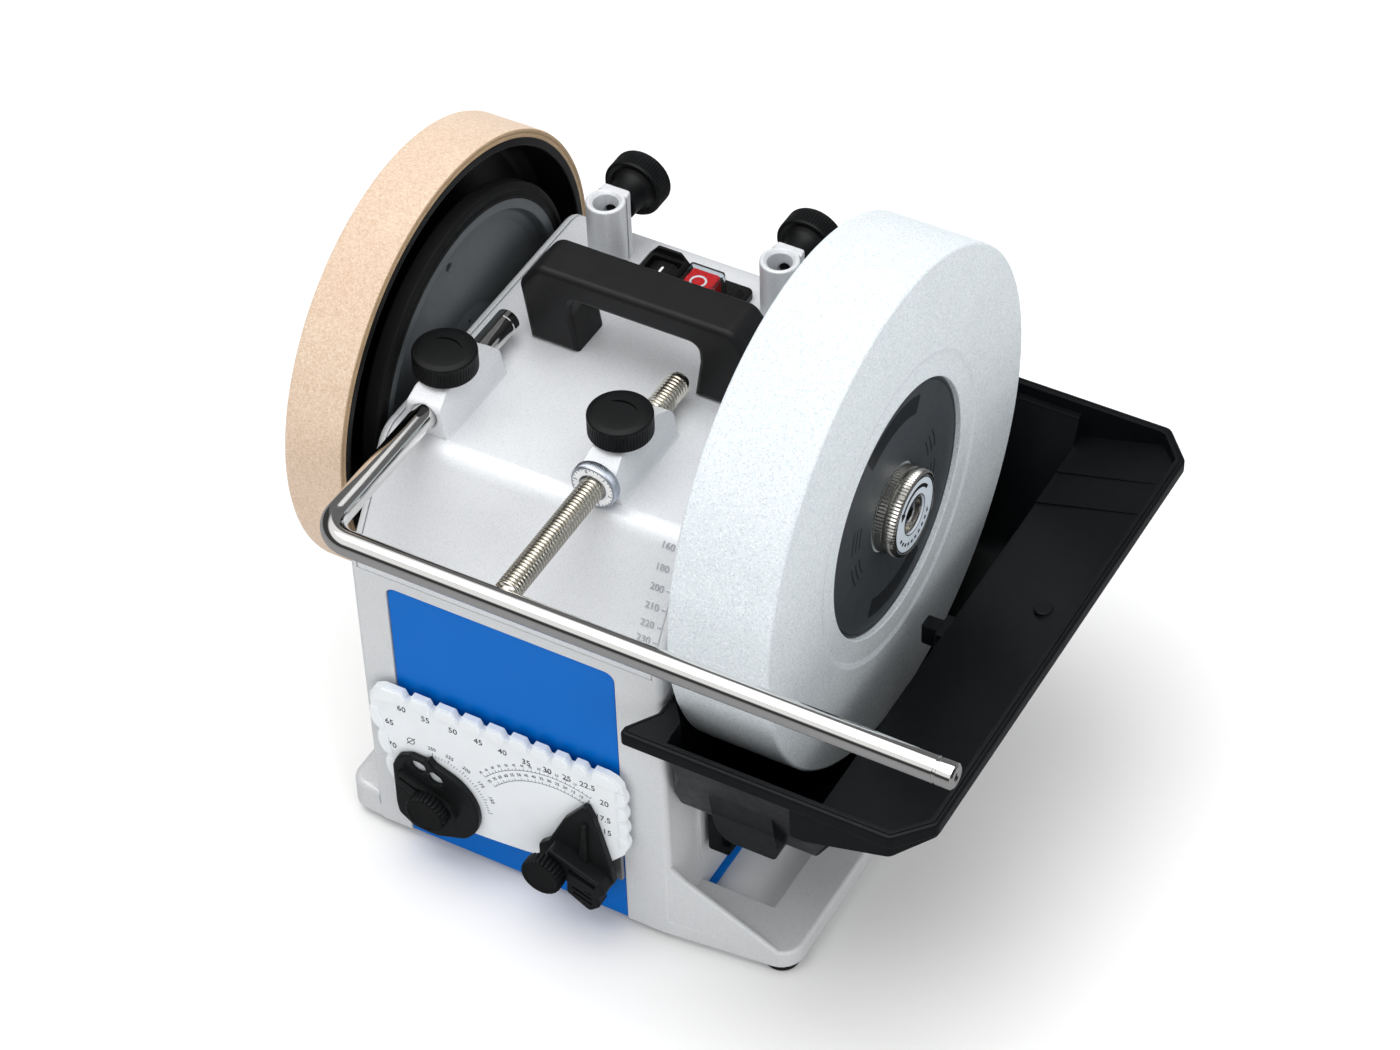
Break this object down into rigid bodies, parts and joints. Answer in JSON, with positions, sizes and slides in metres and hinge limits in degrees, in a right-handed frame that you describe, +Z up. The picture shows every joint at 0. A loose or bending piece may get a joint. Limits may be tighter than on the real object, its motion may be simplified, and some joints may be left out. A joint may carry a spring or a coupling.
{
  "type": "wet grinding sharpener",
  "caption": "Water-cooled bench sharpener: slow grindstone with tray, leather honing wheel, sliding tool support and angle gauge on a motor housing.",
  "frame": {"origin": "on the ground, under the middle of the whole object's extents", "axes": "+Z up, +X along the shaft towards the grindstone, -Y towards the user"},
  "size_m": [0.3758, 0.3436, 0.33],
  "materials": {
    "housing_grey": "satin silver-grey moulded housing",
    "cast_silver": "satin silver lacquer on fine-grained zinc casting",
    "frame_blue": "blue powder coat, fine texture",
    "rubber_black": "matt rubber",
    "handle_black": "black satin plastic, fine spark texture",
    "tray_black": "black polypropylene, soft sheen",
    "switch_black": "semi-gloss black",
    "button_green_black": "black start button",
    "button_red": "red stop button",
    "cover_clear": "clear soft cover",
    "steel_plain": "machined steel",
    "steel_zinc": "zinc-plated steel",
    "bar_chrome": "bright hard chrome",
    "thread_chrome": "chromed rolled thread",
    "nut_nickel": "satin nickel, knurled",
    "dial_white": "white enamel face with black figures",
    "stone_grey": "aluminium-oxide grindstone, fine open grain",
    "label_slate": "dark slate label with two blank bands",
    "leather_tan": "suede side out, tan",
    "drum_black": "black glass-filled nylon",
    "disc_grey": "grey moulded plastic",
    "tyre_rubber": "ground black rubber",
    "bush_nylon": "oil-filled nylon",
    "motor_cast": "die-cast aluminium",
    "lamination": "stacked electrical steel",
    "copper_wire": "varnished copper windings",
    "capacitor_white": "white plastic can",
    "wire_black": "black cable sheath",
    "magnet_grey": "nickel-plated magnets",
    "gauge_white": "white plate with printed scales",
    "gauge_black": "black satin plastic"
  },
  "bodies": {
    "base": {"housing_shell": "housing_grey", "cast_top": "cast_silver", "blue_frame": "frame_blue", "rubber_feet": "rubber_black", "frame_screws": "steel_zinc", "carry_handle": "handle_black", "handle_screws": "steel_zinc", "shaft_bushes": "bush_nylon", "tray_rails": "tray_black", "switch_housing": "switch_black", "stop_button_cover": "cover_clear", "motor_bracket": "steel_zinc", "motor_pivot_pin": "steel_plain", "motor_spring": "steel_plain", "run_capacitor": "capacitor_white", "capacitor_clip": "steel_zinc", "wire_loom": "wire_black", "cord_grip": "rubber_black", "mains_cord": "wire_black"},
    "start_button": {"start_button": "button_green_black"},
    "stop_button": {"stop_button": "button_red"},
    "motor": {"motor_cradle": "steel_zinc", "motor_stator": "lamination", "motor_windings": "copper_wire", "motor_end_bells": "motor_cast", "motor_bearings": "steel_plain", "motor_bolts": "steel_zinc"},
    "rotor": {"rotor_core": "lamination", "motor_spindle": "steel_plain", "cooling_fan": "drum_black"},
    "wheel_shaft": {"main_shaft": "steel_plain", "grinding_stone": "stone_grey", "stone_label": "label_slate", "inner_flange": "steel_zinc", "drive_disc": "disc_grey", "drive_tyre": "tyre_rubber", "drive_pin": "steel_plain", "honing_wheel": "drum_black", "leather_strip": "leather_tan", "honing_wheel_nut": "steel_zinc", "honing_wheel_washer": "steel_zinc"},
    "lock_nut": {"quick_lock_nut": "nut_nickel", "lock_nut_face": "dial_white"},
    "support": {"support_bar": "bar_chrome", "threaded_leg": "thread_chrome"},
    "adjust_nut": {"micro_adjust_nut": "dial_white"},
    "front_left_lock": {"front_left_knob": "handle_black"},
    "front_right_lock": {"front_right_knob": "handle_black"},
    "rear_left_lock": {"rear_left_knob": "handle_black"},
    "rear_right_lock": {"rear_right_knob": "handle_black"},
    "tray": {"water_tray": "tray_black", "tray_magnet": "magnet_grey"},
    "gauge": {"gauge_plate": "gauge_white", "gauge_magnets": "magnet_grey"},
    "diameter_dial": {"gauge_dial": "gauge_black"},
    "angle_pointer": {"gauge_pointer": "gauge_black"},
    "diameter_lock": {"dial_knob": "gauge_black"},
    "angle_lock": {"pointer_knob": "gauge_black"}
  },
  "joints": [
    {"name": "shaft_spin", "type": "hinge", "parent": "base", "child": "wheel_shaft", "pos_m": [-0.0589, -0.0018, 0.205], "axis": [1, 0, 0], "continuous": true},
    {"name": "lock_nut_turn", "type": "hinge", "parent": "wheel_shaft", "child": "lock_nut", "pos_m": [0.0811, -0.0018, 0.205], "axis": [1, 0, 0], "range_deg": [0, 360]},
    {"name": "motor_swing", "type": "hinge", "parent": "base", "child": "motor", "pos_m": [-0.0839, -0.0718, 0.07], "axis": [1, 0, 0], "range_deg": [-1.5, 0], "deforming": ["motor_spring"]},
    {"name": "rotor_spin", "type": "hinge", "parent": "motor", "child": "rotor", "pos_m": [-0.0839, 0.0182, 0.11653], "axis": [1, 0, 0], "continuous": true},
    {"name": "support_slide", "type": "slide", "parent": "base", "child": "support", "axis": [0, -1, 0], "range_m": [0, 0.05]},
    {"name": "adjust_nut_turn", "type": "hinge", "parent": "support", "child": "adjust_nut", "pos_m": [-0.029, -0.0838, 0.243], "axis": [0, -1, 0], "range_deg": [-180, 180]},
    {"name": "front_left_lock_turn", "type": "hinge", "parent": "base", "child": "front_left_lock", "pos_m": [-0.1192, -0.0608, 0.26], "axis": [0, 0, 1], "range_deg": [0, 360]},
    {"name": "front_right_lock_turn", "type": "hinge", "parent": "base", "child": "front_right_lock", "pos_m": [-0.029, -0.0608, 0.26], "axis": [0, 0, 1], "range_deg": [0, 360]},
    {"name": "rear_left_lock_turn", "type": "hinge", "parent": "base", "child": "rear_left_lock", "pos_m": [-0.1049, 0.0782, 0.259], "axis": [0, 1, 0], "range_deg": [0, 360]},
    {"name": "rear_right_lock_turn", "type": "hinge", "parent": "base", "child": "rear_right_lock", "pos_m": [-0.0135, 0.0782, 0.259], "axis": [0, 1, 0], "range_deg": [0, 360]},
    {"name": "start_press", "type": "slide", "parent": "base", "child": "start_button", "axis": [0, 0, -1], "range_m": [0, 0.003]},
    {"name": "stop_press", "type": "slide", "parent": "base", "child": "stop_button", "axis": [0, 0, -1], "range_m": [0, 0.003]},
    {"name": "tray_height", "type": "slide", "parent": "base", "child": "tray", "axis": [0, 0, -1], "range_m": [0, 0.022]},
    {"name": "gauge_lift_off", "type": "slide", "parent": "base", "child": "gauge", "axis": [0, -1, 0], "range_m": [0, 0.03]},
    {"name": "diameter_dial_turn", "type": "hinge", "parent": "gauge", "child": "diameter_dial", "pos_m": [-0.0993, -0.1298, 0.045], "axis": [0, 1, 0], "range_deg": [0, 85]},
    {"name": "angle_pointer_turn", "type": "hinge", "parent": "gauge", "child": "angle_pointer", "pos_m": [-0.0329, -0.1298, 0.042], "axis": [0, 1, 0], "range_deg": [-86, 0]},
    {"name": "diameter_lock_turn", "type": "hinge", "parent": "gauge", "child": "diameter_lock", "pos_m": [-0.0993, -0.1378, 0.045], "axis": [0, -1, 0], "range_deg": [0, 180]},
    {"name": "angle_lock_turn", "type": "hinge", "parent": "gauge", "child": "angle_lock", "pos_m": [-0.0329, -0.1428, 0.042], "axis": [0, -1, 0], "range_deg": [0, 180]}
  ],
  "couplings": [
    {"joint": "rotor_spin", "follows": "shaft_spin", "ratio": -15.455}
  ]
}
